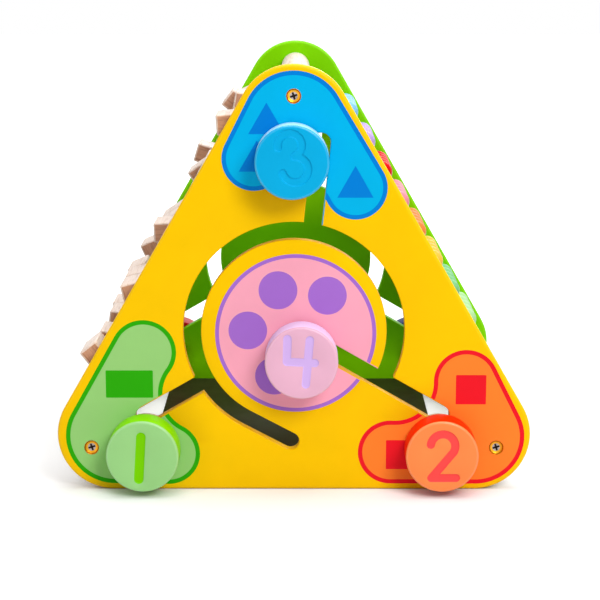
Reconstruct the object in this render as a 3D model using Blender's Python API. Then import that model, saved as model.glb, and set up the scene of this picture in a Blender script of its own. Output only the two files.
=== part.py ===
"""Wooden activity triangle: two maze boards, three bars, flip blocks, a bead frame and sliding knobs.

Units are metres and +Z is up. The origin is on the floor under the middle of the toy.
The front board faces -Y. X runs to the right as the front board is seen.
"""

import math

import bmesh
import bpy
from mathutils import Vector
from mathutils.geometry import delaunay_2d_cdt

# Clearances
TOUCH = 0.0003
RUNNING = 0.0004

# End boards: rounded triangles standing on one side
BOARD_SPACING = 0.276
BOARD_THICKNESS = 0.009
BOARD_CORNER_RADIUS = 0.0367
CORNER_SPACING = 0.2366
BOARD_EDGE_ROUND = 0.002
CHANNEL_EDGE_ROUND = 0.0007

# Maze channels, drawn as strokes of one width
CHANNEL_WIDTH = 0.0116
MAZE_CENTRE_RISE = 0.0012
RING_RADIUS = 0.066
RING_START = math.radians(-28)
RING_END = math.radians(242)
TAIL_LENGTH = 0.0325
LEFT_LEG_X = -0.0977
RIGHT_LEG_X = 0.0958
LEG_FOOT_Z = 0.0281
TOP_CHANNEL_FOOT_X = 0.0119
TOP_CHANNEL_HEAD = (0.0178, 0.2292)
TOP_HOOK_X = -0.001
TOP_HOOK_DROP = 0.0107
ISLAND_HOOK_X = 0.005
ISLAND_HOOK_DROP = 0.0133

# Knobs with their pegs and retainer discs
KNOB_RADIUS = 0.0235
KNOB_THICKNESS = 0.021
KNOB_EDGE_ROUND = 0.0014
KNOB_STANDOFF = 0.0008
NUMERAL_DEPTH = 0.0012
NUMERAL_STROKE = 0.005
NUMERAL_ONE_STROKE = 0.0058
PEG_SOCKET_DEPTH = 0.010
RETAINER_RADIUS = 0.0195
TOP_RETAINER_RADIUS = 0.017
BACK_RETAINER_RADIUS = 0.0095
RETAINER_THICKNESS = 0.007
RETAINER_STANDOFF = 0.0005
RETAINER_CHAMFER = 0.001

# Corner bars, and the screws that their holes are drilled for
BAR_RADIUS = 0.011
BAR_OFFSET = 0.1533
BAR_END_CHAMFER = 0.0006
SCREW_SHANK_RADIUS = 0.0019
SCREW_HEAD_RADIUS = 0.0041
SCREW_HEAD_HEIGHT = 0.0024
SCREW_HEAD_SINK = 0.0008
SCREW_LENGTH = 0.032
COUNTERSINK_RIM = 0.0004

# Bottom board
BASE_WIDTH = 0.200
BASE_THICKNESS = 0.003
BASE_HEIGHT = 0.0029
GROOVE_DEPTH = 0.003

# Flip blocks on the left slope
BLOCK_ROD_RADIUS = 0.0026
BLOCK_ROD_INSET = 0.007
BLOCK_ROD_PITCH = 0.0456
TOP_BLOCK_ROD = 0.099
BLOCK_WIDTH = 0.029
BLOCK_THICKNESS = 0.0135
BLOCK_LENGTH = 0.033
BLOCK_EDGE_ROUND = 0.0012
ROD_SEAT_DEPTH = 0.005

# The flip blocks at rest, one line for each rod from the top down, and one entry for each block from
# the front: the share of the bare rod that lies in front of it, and how far it has turned, in degrees
BLOCK_REST_SHARES = (
    (0.017, 0.229, 0.250, 0.681),
    (0.021, 0.031, 0.135, 0.382),
    (0.028, 0.167, 0.267, 0.293),
    (0.028, 0.053, 0.060, 0.531),
    (0.015, 0.024, 0.262, 0.275),
)
BLOCK_REST_ANGLES = (
    (4, 80, -38, 24),
    (62, 62, 34, -17),
    (61, 2, 32, 33),
    (-76, -76, -67, -66),
    (-52, 81, 82, 88),
)

# Bead frame on the right slope
BEAD_ROD_RADIUS = 0.0025
BEAD_ROD_INSET = 0.0092
BEAD_ROD_PITCH = 0.0261
TOP_BEAD_ROD = 0.0884
BEAD_ROWS = 8
BEADS_IN_ROW = 5
BEAD_RADIUS = 0.0084
BEAD_LENGTH = 0.0168
BEAD_END_SHARE = 0.5

# Colours, base colour then roughness then metallic
YELLOW = ((0.93, 0.53, 0.0), 0.42, 0.0)
GREEN = ((0.23, 0.66, 0.01), 0.42, 0.0)
NATURAL_WOOD = ((0.66, 0.46, 0.33), 0.6, 0.0)
BLOCK_WOOD = ((0.72, 0.55, 0.44), 0.6, 0.0)
CHALK_BLACK = ((0.012, 0.014, 0.011), 0.4, 0.0)
FRONT_KNOB_COLOURS = (
    ((0.33, 0.66, 0.24), 0.42, 0.0),
    ((1.0, 0.26, 0.07), 0.42, 0.0),
    ((0.0, 0.44, 0.76), 0.42, 0.0),
    ((0.8, 0.45, 0.6), 0.42, 0.0),
)
BACK_KNOB_COLOURS = (
    ((0.72, 0.01, 0.03), 0.42, 0.0),
    ((0.01, 0.03, 0.2), 0.42, 0.0),
    ((0.9, 0.55, 0.02), 0.42, 0.0),
    ((0.35, 0.1, 0.5), 0.42, 0.0),
)
BEAD_COLOURS = (
    ((0.25, 0.6, 0.85), 0.4, 0.0),
    ((0.5, 0.38, 0.8), 0.4, 0.0),
    ((0.8, 0.02, 0.02), 0.4, 0.0),
    ((0.85, 0.36, 0.42), 0.4, 0.0),
    ((0.9, 0.3, 0.08), 0.4, 0.0),
    ((0.9, 0.6, 0.1), 0.4, 0.0),
    ((0.25, 0.6, 0.3), 0.4, 0.0),
    ((0.5, 0.75, 0.45), 0.4, 0.0),
)

# Facets
CORNER_SEGMENTS = 12
RING_STEP = math.radians(10)
CAP_SEGMENTS = 8
KNOB_SEGMENTS = 24
PEG_SEGMENTS = 16
BAR_SEGMENTS = 20
ROD_SEGMENTS = 10
SCREW_SEGMENTS = 12
BEAD_SEGMENTS = 8

# Worked out from the sizes above
HALF_SPACING = BOARD_SPACING / 2
BOARD_FACE = HALF_SPACING + BOARD_THICKNESS
CENTRE_Z = BOARD_CORNER_RADIUS + CORNER_SPACING / (2 * math.sqrt(3))
SLOPE_DISTANCE = CENTRE_Z
MAZE_Z = CENTRE_Z + MAZE_CENTRE_RISE
PEG_RADIUS = CHANNEL_WIDTH / 2 - RUNNING
SCREW_HOLE_RADIUS = SCREW_SHANK_RADIUS + RUNNING
COUNTERSINK_RADIUS = SCREW_HEAD_RADIUS + TOUCH


def clear_scene():
    """Remove whatever the open file holds."""
    for item in list(bpy.data.objects):
        bpy.data.objects.remove(item, do_unlink=True)


def make_material(name, finish):
    """Principled material from a colour, a roughness and a metallic value."""
    colour, roughness, metallic = finish
    material = bpy.data.materials.new(name)
    material.use_nodes = True
    shader = material.node_tree.nodes["Principled BSDF"]
    shader.inputs["Base Color"].default_value = (*colour, 1.0)
    shader.inputs["Roughness"].default_value = roughness
    shader.inputs["Metallic"].default_value = metallic
    material.diffuse_color = (*colour, 1.0)
    return material


def add_object(name, bm, finish, origin=(0, 0, 0), turn=0.0):
    """Turn a bmesh, modelled around its origin, into a named object with outward faces."""
    bmesh.ops.recalc_face_normals(bm, faces=bm.faces)
    mesh = bpy.data.meshes.new(name)
    bm.to_mesh(mesh)
    bm.free()
    mesh.shade_smooth()
    mesh.set_sharp_from_angle(angle=math.radians(32))
    mesh.materials.append(make_material(name, finish))
    item = bpy.data.objects.new(name, mesh)
    item.location = origin
    item.rotation_euler = (0, turn, 0)
    bpy.context.collection.objects.link(item)
    return item


def polar(centre, radius, angle):
    """Point at an angle round a centre, in the plane of the boards."""
    return Vector((centre[0] + radius * math.cos(angle), centre[1] + radius * math.sin(angle)))


def circle(centre, radius, segments):
    """Closed round outline."""
    return [polar(centre, radius, 2 * math.pi * index / segments) for index in range(segments)]


def arc(centre, radius, start, end, step):
    """Points along an arc, both ends included; it may run either way round."""
    count = max(2, math.ceil(abs(end - start) / step))
    return [polar(centre, radius, start + (end - start) * index / count) for index in range(count + 1)]


def rounded_outline(centres, radius, segments):
    """Outline round a ring of corner centres, listed anticlockwise."""
    outline = []
    count = len(centres)
    for index, centre in enumerate(centres):
        before = Vector(centres[index - 1])
        after = Vector(centres[(index + 1) % count])
        here = Vector(centre)
        leave = (here - before).normalized()
        arrive = (after - here).normalized()
        start = math.atan2(-leave.x, leave.y)
        end = math.atan2(-arrive.x, arrive.y)
        while end < start:
            end += 2 * math.pi
        outline += [polar(here, radius, start + (end - start) * k / segments) for k in range(segments + 1)]
    return outline


def stroke_outline(path, half_width, segments=CAP_SEGMENTS):
    """Outline of a stroke with round ends and round outer corners."""
    points = [Vector(point) for point in path]
    headings = [(b - a).normalized() for a, b in zip(points, points[1:])]
    outline = []
    for side in (1, -1):
        order = range(1, len(points) - 1) if side == 1 else range(len(points) - 2, 0, -1)
        for index in order:
            before = headings[index - 1]
            after = headings[index]
            turn = before.cross(after)
            left_before = Vector((-before.y, before.x)) * side
            left_after = Vector((-after.y, after.x)) * side
            angle = abs(before.angle(after))
            if turn * side < 0 and angle > math.radians(20):
                start = math.atan2(left_before.y, left_before.x)
                sweep = -angle if side == 1 else angle
                steps = max(2, round(angle / math.pi * segments))
                corner = [polar(points[index], half_width, start + sweep * k / steps) for k in range(steps + 1)]
                outline += corner if side == 1 else corner[::-1]
            else:
                middle = (left_before + left_after).normalized()
                outline.append(points[index] + middle * (half_width / math.cos(angle / 2)))
        if side == 1:
            tip = points[-1]
            heading = headings[-1]
        else:
            tip = points[0]
            heading = -headings[0]
        start = math.atan2(heading.x, -heading.y)
        outline += [polar(tip, half_width, start - math.pi * k / segments) for k in range(segments + 1)]
    return outline[::-1]


def union_outline(shapes, tolerance=1e-6):
    """Outer boundary of overlapping outlines, as one anticlockwise loop."""
    points = []
    faces = []
    for shape in shapes:
        faces.append(list(range(len(points), len(points) + len(shape))))
        points += shape
    corners, _, triangles, _, _, _ = delaunay_2d_cdt(points, [], faces, 1, tolerance)
    links = set()
    for triangle in triangles:
        for index, here in enumerate(triangle):
            links.add((here, triangle[(index + 1) % len(triangle)]))
    follow = {a: b for a, b in links if (b, a) not in links}
    loops = []
    while follow:
        start, here = follow.popitem()
        loop = [start]
        while here != start:
            loop.append(here)
            here = follow.pop(here)
        loops.append([corners[index] for index in loop])
    return tidy_loop(max(loops, key=len))


def tidy_loop(loop, shortest=0.0002):
    """Drop points that lie almost on the one before them."""
    kept = []
    for point in loop:
        if not kept or (point - kept[-1]).length > shortest:
            kept.append(point)
    if (kept[0] - kept[-1]).length <= shortest:
        kept.pop()
    return kept


def grown(loop, distance):
    """An anticlockwise loop moved outwards by a distance, or inwards if it is negative."""
    count = len(loop)
    moved = []
    for index, here in enumerate(loop):
        before = (here - loop[index - 1]).normalized()
        after = (loop[(index + 1) % count] - here).normalized()
        normal_before = Vector((before.y, -before.x))
        normal_after = Vector((after.y, -after.x))
        middle = (normal_before + normal_after).normalized()
        moved.append(here + middle * (distance / max(0.3, middle.dot(normal_after))))
    return moved


def inside(point, loop):
    """True if a point lies inside a closed loop."""
    hit = False
    for index, a in enumerate(loop):
        b = loop[index - 1]
        if (a.y > point.y) != (b.y > point.y):
            if point.x < (b.x - a.x) * (point.y - a.y) / (b.y - a.y) + a.x:
                hit = not hit
    return hit


def fill(outer, holes):
    """Triangles between an outer loop and its holes, as indices into all the points in order."""
    points = []
    edges = []
    for loop in (outer, *holes):
        first = len(points)
        points += loop
        edges += [(first + index, first + (index + 1) % len(loop)) for index in range(len(loop))]
    corners, _, triangles, sources, _, _ = delaunay_2d_cdt(points, edges, [], 0, 1e-7)
    kept = []
    for triangle in triangles:
        middle = sum((corners[index] for index in triangle), Vector((0, 0))) / 3
        if inside(middle, outer) and not any(inside(middle, hole) for hole in holes):
            kept.append([sources[index][0] for index in triangle])
    return kept


class Plate:
    """A flat piece cut from a board: depth 0 is its show face, and depth grows towards its other face."""

    def __init__(self, thickness, show_face, inward):
        self.thickness = thickness
        self.show_face = show_face
        self.inward = inward
        self.bm = bmesh.new()
        self.caps = {0.0: [], thickness: []}
        self.outer = {}

    def ring(self, loop, depth):
        """Vertices of a loop at a depth."""
        y = self.show_face + self.inward * depth
        return [self.bm.verts.new((point.x, y, point.y)) for point in loop]

    def bridge(self, first, second):
        """Band of faces between two rings."""
        count = len(first)
        for index in range(count):
            after = (index + 1) % count
            self.bm.faces.new((first[index], first[after], second[after], second[index]))

    def wall(self, loop, steps):
        """Wall that follows steps of growth and depth; gives its first and last loop and ring."""
        loops = [grown(loop, growth) for growth, _ in steps]
        rings = [self.ring(shape, depth) for shape, (_, depth) in zip(loops, steps)]
        for first, second in zip(rings, rings[1:]):
            self.bridge(first, second)
        return (loops[0], rings[0]), (loops[-1], rings[-1])

    def outline(self, loop, show_round, hidden_round, segments=2):
        """Outer edge with rounded rims."""
        steps = rounded_rim(show_round, segments, -1)
        back = rounded_rim(hidden_round, segments, -1)
        steps += [(growth, self.thickness - depth) for growth, depth in reversed(back)]
        top, bottom = self.wall(loop, steps)
        self.outer = {0.0: top, self.thickness: bottom}

    def hole(self, loop, steps):
        """Opening right through, with its own steps of growth and depth."""
        top, bottom = self.wall(loop, steps)
        self.caps[0.0].append(top)
        self.caps[self.thickness].append(bottom)

    def pocket(self, loop, depth, from_show_face):
        """Blind pocket with a flat floor."""
        face = 0.0 if from_show_face else self.thickness
        floor = depth if from_show_face else self.thickness - depth
        top, bottom = self.wall(loop, [(0, face), (0, floor)])
        self.caps[face].append(top)
        self.cap(bottom, [])

    def cap(self, outer, holes):
        """Flat face between an outer ring and the rings of its holes."""
        verts = list(outer[1])
        for _, ring in holes:
            verts += ring
        for triangle in fill(outer[0], [loop for loop, _ in holes]):
            self.bm.faces.new([verts[index] for index in triangle])

    def finish(self):
        """Close both faces and hand over the mesh."""
        for face, holes in self.caps.items():
            self.cap(self.outer[face], holes)
        return self.bm


def rounded_rim(radius, segments, sign):
    """Steps of growth and depth down a quarter round, from the face to the wall."""
    if radius == 0:
        return [(0, 0)]
    steps = []
    for index in range(segments + 1):
        angle = math.pi / 2 * index / segments
        steps.append((sign * radius * (1 - math.sin(angle)), radius * (1 - math.cos(angle))))
    return steps


def turned(profile, segments):
    """Solid turned about the Y axis from points of radius and Y; a radius of 0 closes an end."""
    bm = bmesh.new()
    rings = []
    for radius, y in profile:
        if radius == 0:
            rings.append([bm.verts.new((0, y, 0))])
        else:
            rings.append([bm.verts.new((p.x, y, p.y)) for p in circle((0, 0), radius, segments)])
    closed = profile[0][0] > 0
    pairs = list(zip(rings, rings[1:]))
    if closed:
        pairs.append((rings[-1], rings[0]))
    for first, second in pairs:
        for index in range(segments):
            after = (index + 1) % segments
            if len(first) == 1:
                bm.faces.new((first[0], second[after], second[index]))
            elif len(second) == 1:
                bm.faces.new((first[index], first[after], second[0]))
            else:
                bm.faces.new((first[index], first[after], second[after], second[index]))
    return bm


def corner_centres(distance):
    """Points at a distance from the middle of the triangle: right foot, top, left foot."""
    return [polar((0, CENTRE_Z), distance, math.radians(angle)) for angle in (-30, 90, 210)]


def slope_point(side, inset, along):
    """Point inside a slope: side is -1 for left and 1 for right, along grows towards the top."""
    normal = Vector((side * math.cos(math.radians(30)), math.sin(math.radians(30))))
    up = Vector((-side * math.cos(math.radians(60)), math.sin(math.radians(60))))
    return Vector((0, CENTRE_Z)) + normal * (SLOPE_DISTANCE - inset) + up * along


def line_z(x, side):
    """Height of the slanting channel that runs down from the middle of the maze on one side."""
    return MAZE_Z - side * x * math.tan(math.radians(30))


def knob_places():
    """Where each knob is parked, and how far up its channel leg it can slide."""
    return (
        ((LEFT_LEG_X, LEG_FOOT_Z), line_z(LEFT_LEG_X, -1) - LEG_FOOT_Z),
        ((RIGHT_LEG_X, LEG_FOOT_Z), line_z(RIGHT_LEG_X, 1) - LEG_FOOT_Z),
        ((TOP_HOOK_X, TOP_CHANNEL_HEAD[1] - TOP_HOOK_DROP), TOP_HOOK_DROP),
        ((ISLAND_HOOK_X, line_z(ISLAND_HOOK_X, 1) - ISLAND_HOOK_DROP), ISLAND_HOOK_DROP),
    )


def maze_outline():
    """All the channels as one opening: the ring with its tail, both legs, the top and the middle."""
    half = CHANNEL_WIDTH / 2
    centre = (0, MAZE_Z)
    parks = [place for place, _ in knob_places()]
    ring = arc(centre, RING_RADIUS, RING_START, RING_END, RING_STEP)
    tail_heading = Vector((-math.sin(RING_END), math.cos(RING_END)))
    ring.append(ring[-1] + tail_heading * TAIL_LENGTH)
    left_start = polar(centre, RING_RADIUS + half / 2, math.radians(210))
    top_start_z = MAZE_Z + math.sqrt((RING_RADIUS + half / 2) ** 2 - TOP_CHANNEL_FOOT_X ** 2)
    left = [left_start, (LEFT_LEG_X, line_z(LEFT_LEG_X, -1)), parks[0]]
    middle_and_right = [
        parks[3],
        (ISLAND_HOOK_X, line_z(ISLAND_HOOK_X, 1)),
        (RIGHT_LEG_X, line_z(RIGHT_LEG_X, 1)),
        parks[1],
    ]
    top = [
        (TOP_CHANNEL_FOOT_X, top_start_z),
        TOP_CHANNEL_HEAD,
        (TOP_HOOK_X, TOP_CHANNEL_HEAD[1]),
        parks[2],
    ]
    return union_outline([stroke_outline(path, half) for path in (ring, left, middle_and_right, top)])


def block_rod_places():
    """Axis of each flip block rod, from the top down."""
    return [
        slope_point(-1, BLOCK_ROD_INSET, TOP_BLOCK_ROD - BLOCK_ROD_PITCH * index)
        for index in range(len(BLOCK_REST_SHARES))
    ]


def bead_rod_places():
    """Axis of each bead rod, from the top down."""
    return [
        slope_point(1, BEAD_ROD_INSET, TOP_BEAD_ROD - BEAD_ROD_PITCH * index)
        for index in range(BEAD_ROWS)
    ]


def make_board(name, side, finish):
    """End board; side is -1 for the front one, whose show face looks towards -Y."""
    plate = Plate(BOARD_THICKNESS, side * BOARD_FACE, -side)
    outline = rounded_outline(corner_centres(CORNER_SPACING / math.sqrt(3)), BOARD_CORNER_RADIUS, CORNER_SEGMENTS)
    plate.outline(outline, BOARD_EDGE_ROUND, BOARD_EDGE_ROUND)
    rim = CHANNEL_EDGE_ROUND
    plate.hole(maze_outline(), [(rim, 0), (0, rim), (0, BOARD_THICKNESS - rim), (rim, BOARD_THICKNESS)])
    rim_growth = COUNTERSINK_RADIUS + COUNTERSINK_RIM - SCREW_HOLE_RADIUS
    seat_growth = COUNTERSINK_RADIUS - SCREW_HOLE_RADIUS
    for centre in corner_centres(BAR_OFFSET):
        steps = [
            (rim_growth, 0),
            (seat_growth, SCREW_HEAD_SINK),
            (0, SCREW_HEAD_SINK + SCREW_HEAD_HEIGHT),
            (0, BOARD_THICKNESS),
        ]
        plate.hole(circle(centre, SCREW_HOLE_RADIUS, SCREW_SEGMENTS), steps)
    for places, radius in ((block_rod_places(), BLOCK_ROD_RADIUS), (bead_rod_places(), BEAD_ROD_RADIUS)):
        for centre in places:
            plate.pocket(circle(centre, radius + RUNNING, ROD_SEGMENTS), ROD_SEAT_DEPTH, False)
    half = BASE_WIDTH / 2 + TOUCH
    low = BASE_HEIGHT - TOUCH
    high = BASE_HEIGHT + BASE_THICKNESS + TOUCH
    groove = [Vector(corner) for corner in ((-half, low), (half, low), (half, high), (-half, high))]
    plate.pocket(groove, GROOVE_DEPTH, False)
    return add_object(name, plate.finish(), finish)


def numeral_shapes():
    """Strokes of the numerals 1 to 4, measured from the middle of a knob's face."""
    step = math.radians(18)
    half = NUMERAL_STROKE / 2
    one = [(-0.0006, 0.0133), (-0.0024, -0.0149)]
    two = arc((0.0003, 0.0073), 0.0079, math.radians(173), math.radians(-32), step)
    two += [Vector((-0.0069, -0.0140)), Vector((0.0090, -0.0139))]
    upper = arc((-0.0014, 0.0110), 0.0075, math.radians(192), math.radians(-66), step)
    lower = arc((0.0020, -0.0042), 0.0081, math.radians(94), math.radians(-163), step)
    left_stroke = [(-0.0089, 0.0160), (-0.0093, 0.0011), (0.0085, 0.0003)]
    right_stroke = [(0.0053, 0.0152), (0.0028, -0.0137)]
    return (
        union_outline([stroke_outline(one, NUMERAL_ONE_STROKE / 2, 6)]),
        union_outline([stroke_outline(two, half, 6)]),
        union_outline([stroke_outline(upper + lower, half, 6)]),
        union_outline([stroke_outline(left_stroke, half, 6), stroke_outline(right_stroke, half, 6)]),
    )


def make_knob(name, side, place, finish, numeral):
    """Round knob that stands just off the board, with a numeral in its face and a socket for its peg."""
    face = side * (BOARD_FACE + KNOB_STANDOFF + KNOB_THICKNESS)
    plate = Plate(KNOB_THICKNESS, 0, -side)
    plate.outline(circle((0, 0), KNOB_RADIUS, KNOB_SEGMENTS), KNOB_EDGE_ROUND, KNOB_EDGE_ROUND)
    plate.pocket(numeral, NUMERAL_DEPTH, True)
    socket = circle((0, 0), PEG_RADIUS + RUNNING, PEG_SEGMENTS)
    plate.pocket(socket, PEG_SOCKET_DEPTH, False)
    return add_object(name, plate.finish(), finish, (place[0], face, place[1]))


def peg_and_retainer(side, radius):
    """Profile of the peg's foot and the retainer disc behind the board."""
    inner = side * (HALF_SPACING - RETAINER_STANDOFF)
    end = inner - side * RETAINER_THICKNESS
    return [
        (PEG_RADIUS, inner),
        (radius - RETAINER_CHAMFER, inner),
        (radius, inner - side * RETAINER_CHAMFER),
        (radius, end + side * RETAINER_CHAMFER),
        (radius - RETAINER_CHAMFER, end),
        (0, end),
    ]


def make_glide(name, side, place, radius):
    """Peg through the channel with the retainer disc that keeps it there, turned in one piece."""
    tip = side * (BOARD_FACE + KNOB_STANDOFF + PEG_SOCKET_DEPTH - TOUCH)
    profile = [(0, tip), (PEG_RADIUS, tip)] + peg_and_retainer(side, radius)
    return add_object(name, turned(profile, PEG_SEGMENTS), NATURAL_WOOD, (place[0], 0, place[1]))


def make_plain_knob(name, side, place, radius, finish):
    """Knob without a numeral, glued to its peg and retainer disc as one piece."""
    back = BOARD_FACE + KNOB_STANDOFF
    face = back + KNOB_THICKNESS
    rim = rounded_rim(KNOB_EDGE_ROUND, 2, -1)
    profile = [(0, side * face)]
    profile += [(KNOB_RADIUS + growth, side * (face - depth)) for growth, depth in rim]
    profile += [(KNOB_RADIUS, side * (back + KNOB_EDGE_ROUND)), (KNOB_RADIUS - KNOB_EDGE_ROUND, side * back)]
    profile.append((PEG_RADIUS, side * back))
    profile += peg_and_retainer(side, radius)
    return add_object(name, turned(profile, KNOB_SEGMENTS), finish, (place[0], 0, place[1]))


def make_bar(name, centre):
    """Round bar with a pilot hole in each end."""
    end = HALF_SPACING - TOUCH
    pilot = SCREW_HOLE_RADIUS
    depth = SCREW_LENGTH + SCREW_HEAD_SINK - BOARD_THICKNESS + RUNNING
    rim = BAR_RADIUS - BAR_END_CHAMFER
    half = [
        (0, HALF_SPACING - depth),
        (pilot, HALF_SPACING - depth),
        (pilot, end),
        (rim, end),
        (BAR_RADIUS, end - BAR_END_CHAMFER),
    ]
    profile = half + [(radius, -y) for radius, y in reversed(half)]
    return add_object(name, turned(profile, BAR_SEGMENTS), NATURAL_WOOD, (centre.x, 0, centre.y))


def make_rods(prefix, places, radius):
    """Rods from board to board, numbered from the top down."""
    end = HALF_SPACING + ROD_SEAT_DEPTH - TOUCH
    for index, place in enumerate(places):
        rod = turned([(0, end), (radius, end), (radius, -end), (0, -end)], ROD_SEGMENTS)
        add_object(f"{prefix}_{index + 1}", rod, NATURAL_WOOD, (place.x, 0, place.y))


def make_base():
    """Thin board that closes the bottom, its ends in the grooves of the end boards."""
    end = HALF_SPACING + GROOVE_DEPTH - TOUCH
    bm = bmesh.new()
    bmesh.ops.create_cube(bm, size=1)
    bmesh.ops.scale(bm, vec=(BASE_WIDTH, 2 * end, BASE_THICKNESS), verts=bm.verts)
    return add_object("base_board", bm, CHALK_BLACK, (0, 0, BASE_HEIGHT + BASE_THICKNESS / 2))


def make_flip_blocks():
    """Wooden tiles that turn on the rods of the left slope."""
    half_width = BLOCK_WIDTH / 2 - BLOCK_EDGE_ROUND
    half_thickness = BLOCK_THICKNESS / 2 - BLOCK_EDGE_ROUND
    corners = [
        (half_width, -half_thickness),
        (half_width, half_thickness),
        (-half_width, half_thickness),
        (-half_width, -half_thickness),
    ]
    rows = zip(block_rod_places(), BLOCK_REST_SHARES, BLOCK_REST_ANGLES)
    for row, (place, shares, angles) in enumerate(rows):
        bare_rod = BOARD_SPACING - BLOCK_LENGTH * len(shares)
        for column, (share, angle) in enumerate(zip(shares, angles)):
            near_end = share * bare_rod + BLOCK_LENGTH * column - HALF_SPACING
            plate = Plate(BLOCK_LENGTH, -BLOCK_LENGTH / 2, 1)
            plate.outline(rounded_outline(corners, BLOCK_EDGE_ROUND, 1), BLOCK_EDGE_ROUND, BLOCK_EDGE_ROUND, 1)
            bore = circle((0, 0), BLOCK_ROD_RADIUS + RUNNING, ROD_SEGMENTS)
            plate.hole(bore, [(0, 0), (0, BLOCK_LENGTH)])
            name = f"flip_block_{row + 1}_{column + 1}"
            origin = (place.x, near_end + BLOCK_LENGTH / 2, place.y)
            add_object(name, plate.finish(), BLOCK_WOOD, origin, -math.radians(angle))


def make_bead_rows():
    """Rows of beads on the rods of the right slope, pushed against the back board.

    The beads of a row are joined at their ends, and their bores run on from one to the next.
    """
    bore = (BEAD_ROD_RADIUS + RUNNING) / math.cos(math.pi / BEAD_SEGMENTS)
    neck = BEAD_RADIUS * BEAD_END_SHARE
    shoulder = math.sqrt(BEAD_RADIUS ** 2 - (BEAD_LENGTH / 4) ** 2)
    back = HALF_SPACING - TOUCH
    front = back - BEAD_LENGTH * BEADS_IN_ROW
    profile = [(bore, front), (neck, front)]
    for index in range(BEADS_IN_ROW):
        start = front + BEAD_LENGTH * index
        profile += [
            (shoulder, start + BEAD_LENGTH / 4),
            (BEAD_RADIUS, start + BEAD_LENGTH / 2),
            (shoulder, start + BEAD_LENGTH * 3 / 4),
            (neck, start + BEAD_LENGTH),
        ]
    profile.append((bore, back))
    for row, (place, finish) in enumerate(zip(bead_rod_places(), BEAD_COLOURS)):
        beads = turned(profile, BEAD_SEGMENTS)
        add_object(f"bead_row_{row + 1}", beads, finish, (place.x, 0, place.y))


def make_knobs():
    """Four numbered knobs with their glides on the front board, and four plain ones on the back board."""
    numerals = numeral_shapes()
    for index, (place, _) in enumerate(knob_places()):
        number = index + 1
        radius = TOP_RETAINER_RADIUS if number == 3 else RETAINER_RADIUS
        make_knob(f"front_knob_{number}", -1, place, FRONT_KNOB_COLOURS[index], numerals[index])
        make_glide(f"front_glide_{number}", -1, place, radius)
        make_plain_knob(f"back_knob_{number}", 1, place, BACK_RETAINER_RADIUS, BACK_KNOB_COLOURS[index])


def main():
    clear_scene()
    make_board("front_panel", -1, YELLOW)
    make_board("back_panel", 1, GREEN)
    make_base()
    for name, centre in zip(("right_bar", "top_bar", "left_bar"), corner_centres(BAR_OFFSET)):
        make_bar(name, centre)
    make_knobs()
    make_rods("block_rod", block_rod_places(), BLOCK_ROD_RADIUS)
    make_flip_blocks()
    make_rods("bead_rod", bead_rod_places(), BEAD_ROD_RADIUS)
    make_bead_rows()


main()
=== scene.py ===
"""Dressed model of the wooden activity triangle, in metres, with +Z up and the front board facing -Y."""

import math

import bmesh
import bpy
import numpy as np
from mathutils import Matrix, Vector
from mathutils.geometry import delaunay_2d_cdt


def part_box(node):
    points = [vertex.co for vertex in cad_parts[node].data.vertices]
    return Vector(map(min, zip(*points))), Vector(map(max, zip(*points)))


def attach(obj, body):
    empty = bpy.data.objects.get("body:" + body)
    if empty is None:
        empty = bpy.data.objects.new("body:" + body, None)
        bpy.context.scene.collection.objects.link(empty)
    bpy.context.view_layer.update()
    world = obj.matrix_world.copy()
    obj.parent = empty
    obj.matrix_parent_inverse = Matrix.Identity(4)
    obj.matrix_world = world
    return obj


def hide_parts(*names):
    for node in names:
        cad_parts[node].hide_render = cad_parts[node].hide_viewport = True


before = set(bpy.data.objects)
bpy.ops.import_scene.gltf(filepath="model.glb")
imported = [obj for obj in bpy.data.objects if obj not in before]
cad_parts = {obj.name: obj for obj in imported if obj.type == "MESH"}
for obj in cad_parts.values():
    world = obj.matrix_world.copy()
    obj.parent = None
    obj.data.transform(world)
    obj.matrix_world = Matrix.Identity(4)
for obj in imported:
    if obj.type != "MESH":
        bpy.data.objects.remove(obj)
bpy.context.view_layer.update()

# Clearances: of seats, and of pieces that run on others
TOUCH = 0.0003
RUNNING = 0.0004

# End boards
HALF_SPACING = 0.138
BOARD_THICKNESS = 0.009
BOARD_FACE = HALF_SPACING + BOARD_THICKNESS
BOARD_CORNER_RADIUS = 0.0367
CORNER_SPACING = 0.2366
CORNER_OFFSET = CORNER_SPACING / math.sqrt(3)
CENTRE_Z = BOARD_CORNER_RADIUS + CORNER_SPACING / (2 * math.sqrt(3))
BOARD_EDGE_ROUND = 0.002

# Channels of the maze
CHANNEL_EDGE_ROUND = 0.0007
CHANNEL_WIDTH = 0.0116
MAZE_CENTRE_RISE = 0.0012
MAZE_Z = CENTRE_Z + MAZE_CENTRE_RISE
RING_RADIUS = 0.066
RING_START = math.radians(-28)
RING_END = math.radians(242)
TAIL_LENGTH = 0.0325
LEFT_LEG_X = -0.0977
RIGHT_LEG_X = 0.0958
LEG_FOOT_Z = 0.0281
TOP_CHANNEL_FOOT_X = 0.0119
TOP_CHANNEL_HEAD = (0.0178, 0.2292)
TOP_HOOK_X = -0.001
TOP_HOOK_DROP = 0.0107
ISLAND_HOOK_X = 0.005
ISLAND_HOOK_DROP = 0.0133

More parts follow.
